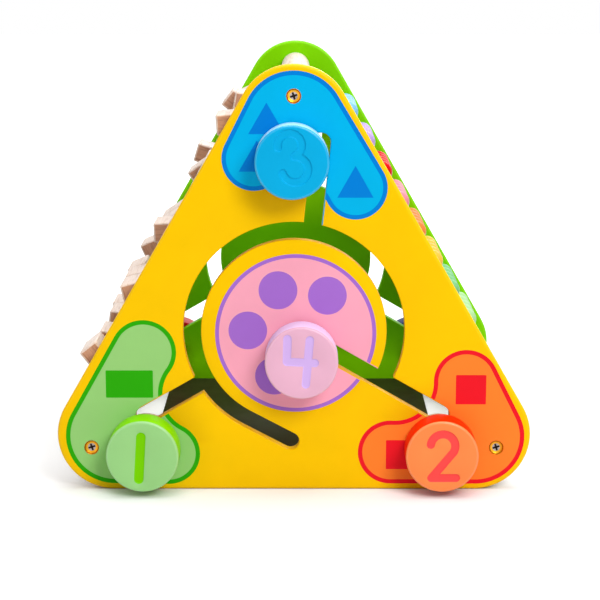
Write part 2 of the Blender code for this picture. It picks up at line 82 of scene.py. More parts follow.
# Knobs with their pegs and retainer discs; the steps of the groove are growth and depth
KNOB_RADIUS = 0.0235
KNOB_THICKNESS = 0.021
KNOB_EDGE_ROUND = 0.0014
NUMERAL_HALF_WIDTH = 0.0025
NUMERAL_ONE_HALF_WIDTH = 0.0029
NUMERAL_GROOVE = ((0.0002, 0), (0.0001, 0.0001), (-0.0001, 0.0008), (-0.0004, 0.0011), (-0.0009, 0.0012))
NUMERAL_DEPTH_SHARES = (0.5, 0.5, 0.8, 0.4)
KNOB_STANDOFF = 0.0008
PEG_RADIUS = 0.0054
PEG_SOCKET_DEPTH = 0.010
RETAINER_RADII = (0.0195, 0.0195, 0.017, 0.0195)
BACK_RETAINER_RADIUS = 0.0095
RETAINER_THICKNESS = 0.007
RETAINER_STANDOFF = 0.0005
RETAINER_EDGE_ROUND = 0.001
SOFT_CORNER_SHARE = 0.3

# Screws with their cross recess, and their holes
SCREW_SHANK_RADIUS = 0.0019
SCREW_HEAD_RADIUS = 0.0041
SCREW_HEAD_HEIGHT = 0.0024
SCREW_HEAD_SINK = 0.0008
SCREW_HEAD_RIM = 0.0002
SCREW_DISH_DEPTH = 0.0006
SCREW_DISH_WIDTH = 0.0015
SCREW_TAPER_DEPTH = 0.024
SCREW_TIP_RADIUS = 0.0003
SCREW_LENGTH = 0.032
CROSS_ARM = 0.0024
CROSS_HALF_WIDTH = 0.0007
CROSS_TAPER = 0.8
CROSS_TURN = 18
CROSS_DEPTH = 0.0016
CROSS_LEAN = 0.0001
SCREW_HOLE_RADIUS = 0.0023
COUNTERSINK_RADIUS = 0.0044
COUNTERSINK_RIM = 0.0004

# Corner bars
BAR_RADIUS = 0.011
BAR_OFFSET = 0.1533
BAR_EDGE_ROUND = 0.0006
BAR_HOLE_DEPTH = SCREW_HEAD_SINK + SCREW_LENGTH - BOARD_THICKNESS + RUNNING

# Bottom board
BASE_WIDTH = 0.200
BASE_THICKNESS = 0.003
BASE_HEIGHT = 0.0029
BASE_EDGE_ROUND = 0.0005
BASE_END_ROUND = 0.0003
GROOVE_DEPTH = 0.003

# Flip blocks on their rods
ROD_SEAT_DEPTH = 0.005
BLOCK_ROD_RADIUS = 0.0026
BLOCK_WIDTH = 0.029
BLOCK_THICKNESS = 0.0135
BLOCK_LENGTH = 0.033
BLOCK_EDGE_ROUND = 0.0012
BORE_RIM = 0.0003
PRINT_LIFT = 0.00003

# Beads on their rods
BEAD_ROD_RADIUS = 0.0025
BEAD_RADIUS = 0.0084
BEAD_LENGTH = 0.0168
BEAD_STEPS = 22
BEADS_IN_ROW = 5
BEAD_ROWS = 8

# Shade on a board's inner face: it fades out between these distances from the middle, towards each side and
# towards the top
SHADE_START = 0.05
SHADE_END = 0.088
SHADE_TOP_SLOPE = 1.1
SHADE_TOP_DROP = 0.0875
# Painted shade beside the knobs: how far it reaches, and the heights between which it fades in above the
# floor
SHADOW_REACH = 0.025
SHADOW_START_Z = 0.03
SHADOW_FULL_Z = 0.06

# Noise on each surface: scale, detail, roughness and distortion
PAINT_CLOUDS = (22, 4, 0.6)
PAINT_GLOSS = (60, 3)
PAINT_PEEL = (900, 2)
WOOD_FIGURE = (1.0, 6, 0.62, 0.6)
WOOD_PORES = (4.6, 3, 0.7)
METAL_STRETCH = (900, 60, 900)
METAL_MARKS = (1.0, 3, 0.6)
# Bump of each surface: strength and distance
PAINT_BUMP = (0.12, 0.00012)
WOOD_BUMP = (0.25, 0.0002)
METAL_BUMP = (0.15, 0.0001)
# Roughness, variety and gloss of the boards' rims and of the knobs' rims
BOARD_RIM_FINISH = (0.4, 0.03, 0.12)
KNOB_RIM_FINISH = (0.3, 0.03, 0.5)

# Outlines: the sharpest corner that stays a plain mitre, the limit of a mitre, and the angle of a sharp edge
MITRE_ANGLE = math.radians(20)
MITRE_LIMIT = 0.3
SHARP_ANGLE = math.radians(35)

# Turn of each flip block at rest, in degrees, one line for each rod from the top down
BLOCK_REST_TURNS = (
    (4, 80, -38, 24),
    (62, 62, 34, -17),
    (61, 2, 32, 33),
    (-76, -76, -67, -66),
    (-52, 81, 82, 88),
)


def rgb(red, green, blue):
    """Linear colour from screen values of 0 to 255."""
    out = []
    for value in (red, green, blue):
        share = value / 255
        out.append(share / 12.92 if share <= 0.04045 else ((share + 0.055) / 1.055) ** 2.4)
    return (*out, 1.0)


# Materials


def object_coordinates(tree):
    """Place of a point on its own object."""
    return tree.nodes.new("ShaderNodeTexCoord").outputs["Object"]


def new_material(name):
    """Material with its node tree, shader and object coordinates."""
    material = bpy.data.materials.new(name)
    material.use_nodes = True
    tree = material.node_tree
    return material, tree, tree.nodes["Principled BSDF"], object_coordinates(tree)


def noise(tree, vector, scale, detail=3.0, roughness=0.5, distortion=0.0):
    """Noise texture on a vector."""
    node = tree.nodes.new("ShaderNodeTexNoise")
    node.inputs["Scale"].default_value = scale
    node.inputs["Detail"].default_value = detail
    node.inputs["Roughness"].default_value = roughness
    node.inputs["Distortion"].default_value = distortion
    tree.links.new(vector, node.inputs["Vector"])
    return node.outputs["Fac"]


def stretch(tree, vector, scale):
    """Vector scaled on each axis, shifted by a random amount for each object."""
    info = tree.nodes.new("ShaderNodeObjectInfo")
    node = tree.nodes.new("ShaderNodeMapping")
    node.inputs["Scale"].default_value = scale
    tree.links.new(vector, node.inputs["Vector"])
    tree.links.new(info.outputs["Random"], node.inputs["Location"])
    return node.outputs["Vector"]


def ramp(tree, factor, stops):
    """Colour ramp through stops of position and colour."""
    node = tree.nodes.new("ShaderNodeValToRGB")
    elements = node.color_ramp.elements
    while len(elements) < len(stops):
        elements.new(0.5)
    for element, (position, colour) in zip(elements, stops):
        element.position = position
        element.color = colour
    tree.links.new(factor, node.inputs["Fac"])
    return node.outputs["Color"]


def value_range(tree, value, low, high, start=0.0, end=1.0, smooth=False):
    """Value between a start and an end spread over another range."""
    node = tree.nodes.new("ShaderNodeMapRange")
    if smooth:
        node.interpolation_type = "SMOOTHSTEP"
    node.inputs["From Min"].default_value = start
    node.inputs["From Max"].default_value = end
    node.inputs["To Min"].default_value = low
    node.inputs["To Max"].default_value = high
    tree.links.new(value, node.inputs["Value"])
    return node.outputs["Result"]


def calculated(tree, operation, first, second):
    """Result of a calculation on an output and on another output or a number."""
    node = tree.nodes.new("ShaderNodeMath")
    node.operation = operation
    tree.links.new(first, node.inputs[0])
    if isinstance(second, float):
        node.inputs[1].default_value = second
    else:
        tree.links.new(second, node.inputs[1])
    return node.outputs[0]


def reach_along(tree, vector, direction):
    """Length of a vector along a direction."""
    node = tree.nodes.new("ShaderNodeVectorMath")
    node.operation = "DOT_PRODUCT"
    node.inputs[1].default_value = direction
    tree.links.new(vector, node.inputs[0])
    return node.outputs["Value"]


def openness(tree, distance):
    """How open a point is to its surroundings within a distance, from 0 to 1."""
    node = tree.nodes.new("ShaderNodeAmbientOcclusion")
    node.samples = 8
    node.inputs["Distance"].default_value = distance
    return node.outputs["AO"]


def bump(tree, shader, height, strength, distance):
    """Bump on a shader from a height."""
    node = tree.nodes.new("ShaderNodeBump")
    node.inputs["Strength"].default_value = strength
    node.inputs["Distance"].default_value = distance
    tree.links.new(height, node.inputs["Height"])
    tree.links.new(node.outputs["Normal"], shader.inputs["Normal"])


def tinted(colour, factor):
    """Colour made lighter or darker."""
    return tuple(min(1.0, channel * factor) for channel in colour[:3]) + (1.0,)


def paint(name, colour, roughness=0.38, variety=0.03, specular=0.05):
    """Sprayed satin paint over fine-grained plywood: a little uneven in tone, gloss and surface."""
    material, tree, shader, vector = new_material(name)
    cloudy = noise(tree, vector, *PAINT_CLOUDS)
    tone = ramp(tree, cloudy, ((0.3, tinted(colour, 1 - variety)), (0.7, tinted(colour, 1 + variety))))
    tree.links.new(tone, shader.inputs["Base Color"])
    gloss = noise(tree, vector, *PAINT_GLOSS)
    tree.links.new(value_range(tree, gloss, roughness - 0.06, roughness + 0.08), shader.inputs["Roughness"])
    shader.inputs["Specular IOR Level"].default_value = specular
    peel = noise(tree, vector, *PAINT_PEEL)
    bump(tree, shader, peel, *PAINT_BUMP)
    return material


def repainted(material, colour, share):
    """The same paint with another colour where the share is low."""
    tree = material.node_tree
    shader = tree.nodes["Principled BSDF"]
    tone = shader.inputs["Base Color"].links[0].from_socket
    mix = tree.nodes.new("ShaderNodeMix")
    mix.data_type = "RGBA"
    mix.inputs["A"].default_value = colour
    tree.links.new(share, mix.inputs["Factor"])
    tree.links.new(tone, mix.inputs["B"])
    tree.links.new(mix.outputs["Result"], shader.inputs["Base Color"])
    return material


def inner_paint(name, colour, middle_colour):
    """Satin paint of a board's inner face, darker in the middle, where less light falls."""
    material = paint(name, colour)
    tree = material.node_tree
    coords = object_coordinates(tree)
    centred = tree.nodes.new("ShaderNodeVectorMath")
    centred.operation = "SUBTRACT"
    centred.inputs[1].default_value = (0, 0, CENTRE_Z)
    tree.links.new(coords, centred.inputs[0])
    raised = reach_along(tree, coords, (0, 0, SHADE_TOP_SLOPE))
    farthest = calculated(tree, "SUBTRACT", raised, SHADE_TOP_DROP)
    for angle in (30, 150, 270):
        way = (math.cos(math.radians(angle)), 0, math.sin(math.radians(angle)))
        reach = reach_along(tree, centred.outputs["Vector"], way)
        farthest = calculated(tree, "MAXIMUM", farthest, reach)
    share = value_range(tree, farthest, 0.0, 1.0, SHADE_START, SHADE_END, True)
    return repainted(material, middle_colour, share)


def outer_paint(name, colour, shade_colour):
    """Satin paint with painted shade where something close by keeps the light off, save just above the floor.
    """
    material = paint(name, colour)
    tree = material.node_tree
    coords = object_coordinates(tree)
    height = reach_along(tree, coords, (0, 0, 1))
    near_floor = value_range(tree, height, 1.0, 0.0, SHADOW_START_Z, SHADOW_FULL_Z)
    share = calculated(tree, "MAXIMUM", openness(tree, SHADOW_REACH), near_floor)
    return repainted(material, shade_colour, share)


def wood(name, light, dark, grain, roughness=0.5):
    """Bare fine-grained hardwood; grain is the scale of the figure on each axis, lowest along the grain."""
    material, tree, shader, vector = new_material(name)
    along = stretch(tree, vector, grain)
    figure = noise(tree, along, *WOOD_FIGURE)
    pores = noise(tree, along, *WOOD_PORES)
    tone = ramp(tree, figure, ((0.32, dark), (0.5, tinted(light, 0.93)), (0.68, light)))
    fleck = ramp(tree, pores, ((0.36, tinted(dark, 0.72)), (0.46, (1, 1, 1, 1))))
    mix = tree.nodes.new("ShaderNodeMix")
    mix.data_type = "RGBA"
    mix.blend_type = "MULTIPLY"
    mix.inputs["Factor"].default_value = 0.4
    tree.links.new(tone, mix.inputs["A"])
    tree.links.new(fleck, mix.inputs["B"])
    tree.links.new(mix.outputs["Result"], shader.inputs["Base Color"])
    tree.links.new(value_range(tree, pores, roughness + 0.1, roughness - 0.08), shader.inputs["Roughness"])
    bump(tree, shader, pores, *WOOD_BUMP)
    return material


def metal(name, colour, roughness):
    """Plated steel with fine turning marks."""
    material, tree, shader, vector = new_material(name)
    marks = noise(tree, stretch(tree, vector, METAL_STRETCH), *METAL_MARKS)
    tone = ramp(tree, marks, ((0.3, tinted(colour, 0.82)), (0.7, colour)))
    tree.links.new(tone, shader.inputs["Base Color"])
    shader.inputs["Metallic"].default_value = 1.0
    tree.links.new(value_range(tree, marks, roughness - 0.08, roughness + 0.12), shader.inputs["Roughness"])
    bump(tree, shader, marks, *METAL_BUMP)
    return material


# Front board yellow, with painted shade beside the knobs
YELLOW = outer_paint("yellow", rgb(251, 198, 0), rgb(190, 104, 0))
YELLOW_RIM = paint("yellow_rim", rgb(251, 198, 4), *BOARD_RIM_FINISH)
GREEN = paint("green", rgb(124, 210, 0))
GREEN_RIM = paint("green_rim", rgb(128, 212, 0), *BOARD_RIM_FINISH)
GREEN_INNER = inner_paint("green_inner", rgb(124, 210, 0), rgb(88, 174, 0))
BLUE_LIGHT = paint("blue_light", rgb(0, 178, 228))
BLUE_DARK = paint("blue_dark", rgb(0, 126, 212))
GREEN_LIGHT = paint("green_light", rgb(152, 206, 120))
GREEN_DARK = paint("green_dark", rgb(44, 168, 8))
ORANGE = paint("orange", rgb(255, 132, 46))
RED = paint("red", rgb(236, 26, 40))
PINK = paint("pink", rgb(248, 166, 186))
PURPLE = paint("purple", rgb(164, 108, 204))
AMBER = paint("amber", rgb(246, 184, 60))
AMBER_DARK = paint("amber_dark", rgb(226, 128, 16))
GOLDEN = metal("golden", rgb(226, 160, 40), 0.34)
BAR_WOOD = wood("bar_wood", rgb(230, 214, 196), rgb(208, 186, 160), (160, 9, 160))
ROD_WOOD = wood("rod_wood", rgb(232, 210, 182), rgb(200, 168, 134), (260, 12, 260))
BLOCK_END = wood("block_end", rgb(206, 154, 122), rgb(160, 108, 80), (24, 260, 420), 0.55)
BLOCK_SIDE = wood("block_side", rgb(236, 214, 198), rgb(206, 172, 150), (420, 24, 420), 0.34)
DARK_BOARD = paint("dark_board", rgb(52, 40, 30), 0.36, 0.2)
STEEL = metal("steel", rgb(168, 156, 150), 0.3)
# Metal of the screws' cross recesses, dark as painted shade in the recess
RECESS_SHADE_STEEL = metal("recess_shade_steel", rgb(44, 34, 32), 0.5)

KNOB_PAINTS = tuple(
    (
        paint(f"knob_{index + 1}_face", rgb(*face)),
        paint(f"knob_{index + 1}_side", rgb(*side)),
        paint(f"knob_{index + 1}_numeral", rgb(*numeral)),
        paint(f"knob_{index + 1}_rim", rgb(*face), *KNOB_RIM_FINISH),
    )
    for index, (face, side, numeral) in enumerate((
        ((156, 212, 134), (140, 226, 0), (120, 208, 0)),
        ((255, 140, 76), (252, 44, 0), (255, 78, 76)),
        ((8, 170, 222), (176, 222, 252), (8, 172, 224)),
        ((232, 178, 202), (240, 216, 255), (212, 178, 238)),
    ))
)
BACK_KNOB_PAINTS = (
    paint("back_knob_red", rgb(190, 16, 24)),
    paint("back_knob_navy", rgb(24, 52, 112)),
    paint("back_knob_amber", rgb(246, 190, 40)),
    paint("back_knob_purple", rgb(142, 92, 186)),
)
BEAD_NAMES = ("sky_blue", "lilac", "bead_red", "rose", "apricot", "bead_yellow", "leaf_green", "pale_green")
BEAD_PAINTS = tuple(
    paint(f"{name}_gloss", rgb(*colour), 0.3)
    for name, colour in zip(
        BEAD_NAMES,
        ((128, 190, 228), (182, 156, 216), (212, 16, 10), (228, 138, 152),
         (238, 130, 60), (238, 186, 70), (122, 190, 130), (168, 212, 150)),
    )
)


# Outlines in the plane of the boards


def polar(centre, radius, angle):
    """Point at an angle round a centre."""
    return Vector((centre[0] + radius * math.cos(angle), centre[1] + radius * math.sin(angle)))


def circle(centre, radius, segments):
    """Closed round outline."""
    return [polar(centre, radius, 2 * math.pi * index / segments) for index in range(segments)]


def arc(centre, radius, start, end, step):
    """Points along an arc, both ends included; it may run either way round."""
    count = max(2, math.ceil(abs(end - start) / step))
    return [polar(centre, radius, start + (end - start) * index / count) for index in range(count + 1)]


def rounded_outline(centres, radius, segments):
    """Outline round a ring of corner centres, listed anticlockwise."""
    outline = []
    count = len(centres)
    for index, centre in enumerate(centres):
        here = Vector(centre)
        leave = (here - Vector(centres[index - 1])).normalized()
        arrive = (Vector(centres[(index + 1) % count]) - here).normalized()
        start = math.atan2(-leave.x, leave.y)
        end = math.atan2(-arrive.x, arrive.y)
        while end < start:
            end += 2 * math.pi
        outline += [polar(here, radius, start + (end - start) * k / segments) for k in range(segments + 1)]
    return outline


def stroke_outline(path, half_width, segments=20):
    """Outline of a stroke with round ends and round outer corners."""
    points = [Vector(point) for point in path]
    headings = [(b - a).normalized() for a, b in zip(points, points[1:])]
    outline = []
    for side in (1, -1):
        order = range(1, len(points) - 1) if side == 1 else range(len(points) - 2, 0, -1)
        for index in order:
            before = headings[index - 1]
            after = headings[index]
            turn = before.cross(after)
            left_before = Vector((-before.y, before.x)) * side
            left_after = Vector((-after.y, after.x)) * side
            angle = abs(before.angle(after))
            if turn * side < 0 and angle > MITRE_ANGLE:
                start = math.atan2(left_before.y, left_before.x)
                sweep = -angle if side == 1 else angle
                steps = max(2, round(angle / math.pi * segments))
                ways = [start + sweep * k / steps for k in range(steps + 1)]
                corner = [polar(points[index], half_width, way) for way in ways]
                outline += corner if side == 1 else corner[::-1]
            else:
                middle = (left_before + left_after).normalized()
                outline.append(points[index] + middle * (half_width / math.cos(angle / 2)))
        tip = points[-1] if side == 1 else points[0]
        heading = headings[-1] if side == 1 else -headings[0]
        start = math.atan2(heading.x, -heading.y)
        outline += [polar(tip, half_width, start - math.pi * k / segments) for k in range(segments + 1)]
    return outline[::-1]


def union_outline(shapes, tolerance=1e-6):
    """Outer boundary of overlapping outlines, as one anticlockwise loop."""
    points = []
    faces = []
    for shape in shapes:
        faces.append(list(range(len(points), len(points) + len(shape))))
        points += shape
    corners, _, triangles, _, _, _ = delaunay_2d_cdt(points, [], faces, 1, tolerance)
    links = set()
    for triangle in triangles:
        for index, here in enumerate(triangle):
            links.add((here, triangle[(index + 1) % len(triangle)]))
    follow = {a: b for a, b in sorted(links) if (b, a) not in links}
    loops = []
    while follow:
        start, here = follow.popitem()
        loop = [start]
        while here != start:
            loop.append(here)
            here = follow.pop(here)
        loops.append([corners[index] for index in loop])
    return tidy_loop(max(loops, key=len))


def tidy_loop(loop, shortest=0.00015):
    """Drop points that lie almost on the one before them."""
    kept = []
    for point in loop:
        if not kept or (point - kept[-1]).length > shortest:
            kept.append(point)
    if (kept[0] - kept[-1]).length <= shortest:
        kept.pop()
    return kept


def grown(loop, distance):
    """An anticlockwise loop moved outwards by a distance, or inwards if it is negative."""
    count = len(loop)
    moved = []
    for index, here in enumerate(loop):
        before = (here - loop[index - 1]).normalized()
        after = (loop[(index + 1) % count] - here).normalized()
        normal_before = Vector((before.y, -before.x))
        normal_after = Vector((after.y, -after.x))
        middle = (normal_before + normal_after).normalized()
        moved.append(here + middle * (distance / max(MITRE_LIMIT, middle.dot(normal_after))))
    return moved


def anticlockwise(loop):
    """The loop, reversed if it runs clockwise."""
    area = sum(loop[i - 1].cross(point) for i, point in enumerate(loop))
    return loop if area > 0 else loop[::-1]


def inside(points, loop):
    """For each row of an array of points, whether it lies inside a closed loop."""
    corners = np.array([(point[0], point[1]) for point in loop])
    before = np.roll(corners, 1, axis=0)
    x = points[:, 0:1]
    y = points[:, 1:2]
    spans = (corners[:, 1] > y) != (before[:, 1] > y)
    rise = before[:, 1] - corners[:, 1]
    rise[rise == 0] = 1e-12
    meets = (before[:, 0] - corners[:, 0]) * (y - corners[:, 1]) / rise + corners[:, 0]
    return (np.sum(spans & (x < meets), axis=1) % 2).astype(bool)


# Mesh building


class Plate:
    """A flat piece cut from a board: depth 0 is its show face, and depth grows towards its other face.

    Each band of a wall, each cap and each print has its own material number.
    """

    def __init__(self, thickness, show_face, inward):
        self.thickness = thickness
        self.show_face = show_face
        self.inward = inward
        self.bm = bmesh.new()
        self.caps = {0.0: [], thickness: []}
        self.outer = {}

    def point(self, place, depth):
        """Vertex at a place and a depth."""
        return self.bm.verts.new((place[0], self.show_face + self.inward * depth, place[1]))

    def ring(self, loop, depth):
        """Vertices of a loop at a depth."""
        return [self.point(place, depth) for place in loop]

    def wall(self, loop, steps, paints=()):
        """Wall that follows steps of growth and depth; gives its first and last loop and ring."""
        loops = [grown(loop, growth) for growth, _ in steps]
        rings = [self.ring(shape, depth) for shape, (_, depth) in zip(loops, steps)]
        for band, (first, second) in enumerate(zip(rings, rings[1:])):
            number = paints[min(band, len(paints) - 1)] if paints else 0
            count = len(first)
            for index in range(count):
                after = (index + 1) % count
                face = self.bm.faces.new((first[index], first[after], second[after], second[index]))
                face.smooth = True
                face.material_index = number
        return (loops[0], rings[0]), (loops[-1], rings[-1])

    def outline(self, loop, rim, segments, paints=()):
        """Outer edge with rounded rims on both faces."""
        steps = rounded_rim(rim, segments, -1)
        steps += [(growth, self.thickness - depth) for growth, depth in reversed(steps)]
        top, bottom = self.wall(loop, steps, paints)
        self.outer = {0.0: top, self.thickness: bottom}

    def hole(self, loop, steps, paints=()):
        """Opening right through, with its own steps of growth and depth."""
        top, bottom = self.wall(loop, steps, paints)
        self.caps[0.0].append(top)
        self.caps[self.thickness].append(bottom)

    def pocket(self, loop, steps, from_show_face, number=0):
        """Blind pocket with a flat floor."""
        face = 0.0 if from_show_face else self.thickness
        if not from_show_face:
            steps = [(growth, self.thickness - depth) for growth, depth in steps]
        top, bottom = self.wall(loop, steps, (number,))
        self.caps[face].append(top)
        self.cap(bottom, [], steps[-1][1], number)

    def cap(self, outer, holes, depth, number=0, prints=()):
        """Flat face between an outer ring and the rings of its holes, with prints on it in order."""
        rings = list(outer[1])
        points = list(outer[0])
        loops = [outer[0]]
        for loop, ring in holes:
            rings += ring
            points += loop
            loops.append(loop)
        for loop, _ in prints:
            points += loop
            loops.append(loop)
        edges = []
        first = 0
        for loop in loops:
            edges += [(first + index, first + (index + 1) % len(loop)) for index in range(len(loop))]
            first += len(loop)
        corners, _, triangles, sources, _, _ = delaunay_2d_cdt(points, edges, [], 0, 1e-7)
        middles = np.array([
            [sum(corners[index][axis] for index in triangle) / 3 for axis in (0, 1)] for triangle in triangles
        ])
        keep = inside(middles, outer[0])
        for loop, _ in holes:
            keep &= ~inside(middles, loop)
        numbers = np.full(len(triangles), number)
        for loop, print_number in prints:
            numbers[inside(middles, loop)] = print_number
        verts = {}
        for triangle, kept, material_number in zip(triangles, keep, numbers):
            if not kept:
                continue
            for index in triangle:
                if index not in verts:
                    on_ring = [source for source in sources[index] if source < len(rings)]
                    verts[index] = rings[on_ring[0]] if on_ring else self.point(corners[index], depth)
            face = self.bm.faces.new([verts[index] for index in triangle])
            face.material_index = int(material_number)

    def finish(self, show=0, hidden=0, prints=()):
        """Close both faces and hand over the mesh."""
        self.cap(self.outer[0.0], self.caps[0.0], 0.0, show, prints)
        self.cap(self.outer[self.thickness], self.caps[self.thickness], self.thickness, hidden)
        return self.bm


def rounded_rim(radius, segments, sign):
    """Steps of growth and depth down a quarter round, from the face to the wall."""
    steps = []
    for index in range(segments + 1):
        angle = math.pi / 2 * index / segments
        steps.append((sign * radius * (1 - math.sin(angle)), radius * (1 - math.cos(angle))))
    return steps


def turned(profile, segments, bm=None, shift=0.0):
    """Solid turned about the Y axis from points of radius and Y; a radius of 0 closes an end."""
    bm = bm or bmesh.new()
    rings = []
    for radius, y in profile:
        if radius == 0:
            rings.append([bm.verts.new((0, y + shift, 0))])
        else:
            rings.append([bm.verts.new((p.x, y + shift, p.y)) for p in circle((0, 0), radius, segments)])
    pairs = list(zip(rings, rings[1:]))
    if profile[0][0] > 0:
        pairs.append((rings[-1], rings[0]))
    for first, second in pairs:
        for index in range(segments):
            after = (index + 1) % segments
            if len(first) == 1:
                corners = (first[0], second[after], second[index])
            elif len(second) == 1:
                corners = (first[index], first[after], second[0])
            else:
                corners = (first[index], first[after], second[after], second[index])
            bm.faces.new(corners).smooth = True
    return bm


def put(name, bm, paints, body, node=None, place=(0, 0, 0), turn=0.0):
    """Turn a mesh into a piece that rides on a body and stands for a node."""
    bmesh.ops.recalc_face_normals(bm, faces=bm.faces)
    mesh = bpy.data.meshes.new(name)
    bm.to_mesh(mesh)
    bm.free()
    mesh.set_sharp_from_angle(angle=SHARP_ANGLE)
    for material in paints:
        mesh.materials.append(material)
    item = bpy.data.objects.new(name, mesh)
    item.location = place
    item.rotation_euler = (0, turn, 0)
    bpy.context.collection.objects.link(item)
    bpy.context.view_layer.update()
    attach(item, body)
    if node:
        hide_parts(node)
    return item


# Places


def corner_centres(distance):
    """Points at a distance from the middle of the triangle: right foot, top, left foot."""
    return [polar((0, CENTRE_Z), distance, math.radians(angle)) for angle in (-30, 90, 210)]


def node_centre(node):
    """Middle of a node's box."""
    low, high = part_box(node)
    return (Vector(low) + Vector(high)) / 2


def line_z(x, side):
    """Height of the slanting channel that runs down from the middle of the maze on one side."""
    return MAZE_Z - side * x * math.tan(math.radians(30))


KNOB_PLACES = (
    (LEFT_LEG_X, LEG_FOOT_Z),
    (RIGHT_LEG_X, LEG_FOOT_Z),
    (TOP_HOOK_X, TOP_CHANNEL_HEAD[1] - TOP_HOOK_DROP),
    (ISLAND_HOOK_X, line_z(ISLAND_HOOK_X, 1) - ISLAND_HOOK_DROP),
)


def maze_outline():
    """All the channels as one opening: the ring with its tail, both legs, the top and the middle."""
    half = CHANNEL_WIDTH / 2
    centre = (0, MAZE_Z)
    ring = arc(centre, RING_RADIUS, RING_START, RING_END, math.radians(3))
    tail_heading = Vector((-math.sin(RING_END), math.cos(RING_END)))
    ring.append(ring[-1] + tail_heading * TAIL_LENGTH)
    left_start = polar(centre, RING_RADIUS + half / 2, math.radians(210))
    top_start_z = MAZE_Z + math.sqrt((RING_RADIUS + half / 2) ** 2 - TOP_CHANNEL_FOOT_X ** 2)
    left = [left_start, (LEFT_LEG_X, line_z(LEFT_LEG_X, -1)), KNOB_PLACES[0]]
    middle_and_right = [KNOB_PLACES[3], (ISLAND_HOOK_X, line_z(ISLAND_HOOK_X, 1)),
                        (RIGHT_LEG_X, line_z(RIGHT_LEG_X, 1)), KNOB_PLACES[1]]
    top = [(TOP_CHANNEL_FOOT_X, top_start_z), TOP_CHANNEL_HEAD,
           (TOP_HOOK_X, TOP_CHANNEL_HEAD[1]), KNOB_PLACES[2]]
    return union_outline([stroke_outline(path, half) for path in (ring, left, middle_and_right, top)])


# Prints

ZONE_FILLET = 0.025
ZONE_BORDER = 0.0029
# Each zone: shift of its corner arc from the board's corner centre with the arc's radius, then its two lobes,
# all as x, z and radius
ZONES = (
    ((0.0008, -0.0008, 0.0319), (-0.0978, 0.0924, 0.0213), (-0.0824, 0.0243, 0.0208)),
    ((0.0010, -0.0012, 0.0317), (0.1123, 0.0729, 0.0211), (0.0634, 0.0253, 0.0214)),
    ((0.0, 0.0, 0.0328), (-0.0256, 0.2184, 0.0204), (0.0396, 0.1999, 0.0204)),
)
DISC_CENTRE = (0.0012, 0.1049)
DISC_RADIUS = 0.0522
DISC_BORDER = 0.0025
DOT_RADIUS = 0.0125
DOT_PLACES = ((-0.0102, 0.1334), (0.0217, 0.1299), (-0.0298, 0.1069), (-0.0127, 0.0767))
# Each box or triangle: left, right, low, high and the zone whose border colour it takes
BOX_PRINTS = (
    (-0.1226, -0.0918, 0.0620, 0.0803, 0),
    (0.1056, 0.1254, 0.0576, 0.0773, 1),
    (0.0604, 0.0796, 0.0137, 0.0334, 1),
)
TRIANGLE_PRINTS = (
    (-0.0289, -0.0056, 0.2342, 0.2542, 2),
    (-0.0351, -0.0117, 0.2103, 0.2303, 2),
    (0.0278, 0.0510, 0.1936, 0.2141, 2),
)
# Material numbers of a board: its outer face, the countersinks, (border, fill) of each zone and of the disc,
# the rim and the inner face
OUTER_FACE = 0
COUNTERSINK = 1
PRINT_NUMBERS = ((2, 3), (4, 5), (6, 7), (8, 9))
BOARD_RIM = 10
INNER_FACE = 11


def zone_outline(corner, lobes):
    """Printed zone: a corner arc and two lobes, straight on the outside and hollow between the lobes.

    The corner and each lobe are given as x, z and radius.
    """
    heart = Vector(corner[:2])
    (a, radius_a), (b, radius_b) = ((Vector(lobe[:2]), lobe[2]) for lobe in lobes)
    apart = (b - a).length
    across = (b - a).normalized()
    away = Vector((-across.y, across.x))
    if away.dot(heart - a) > 0:
        away = -away
    reach_a = radius_a + ZONE_FILLET
    reach_b = radius_b + ZONE_FILLET
    along = (apart ** 2 + reach_a ** 2 - reach_b ** 2) / (2 * apart)
    fillet = a + across * along + away * math.sqrt(reach_a ** 2 - along ** 2)
    ends = [lobe - fillet for lobe in (a, b)]
    start, end = (math.atan2(way.y, way.x) for way in ends)
    sweep = (end - start + math.pi) % (2 * math.pi) - math.pi
    web = [b, a] + arc(fillet, ZONE_FILLET, start, start + sweep, math.radians(4))
    shapes = [circle(heart, corner[2], 96), circle(a, radius_a, 72), circle(b, radius_b, 72)]
    shapes += [anticlockwise([heart, a, b]), anticlockwise(web)]
    for lobe, radius, other in ((a, radius_a, b), (b, radius_b, a)):
        way = (lobe - heart).normalized()
        out = Vector((-way.y, way.x))
        if out.dot(other - lobe) > 0:
            out = -out
        lean = (corner[2] - radius) / (lobe - heart).length
        normal = out * math.sqrt(1 - lean ** 2) + way * lean
        shapes.append(anticlockwise([heart, heart + normal * corner[2], lobe + normal * radius, lobe]))
    return union_outline(shapes)


def box_loop(left, right, low, high, corner=0.0006):
    """Rectangle with small round corners."""
    centres = [(right - corner, low + corner), (right - corner, high - corner),
               (left + corner, high - corner), (left + corner, low + corner)]
    return rounded_outline(centres, corner, 4)


def triangle_loop(left, right, low, high):
    """Triangle on a level side."""
    return [Vector((left, low)), Vector((right, low)), Vector(((left + right) / 2, high))]


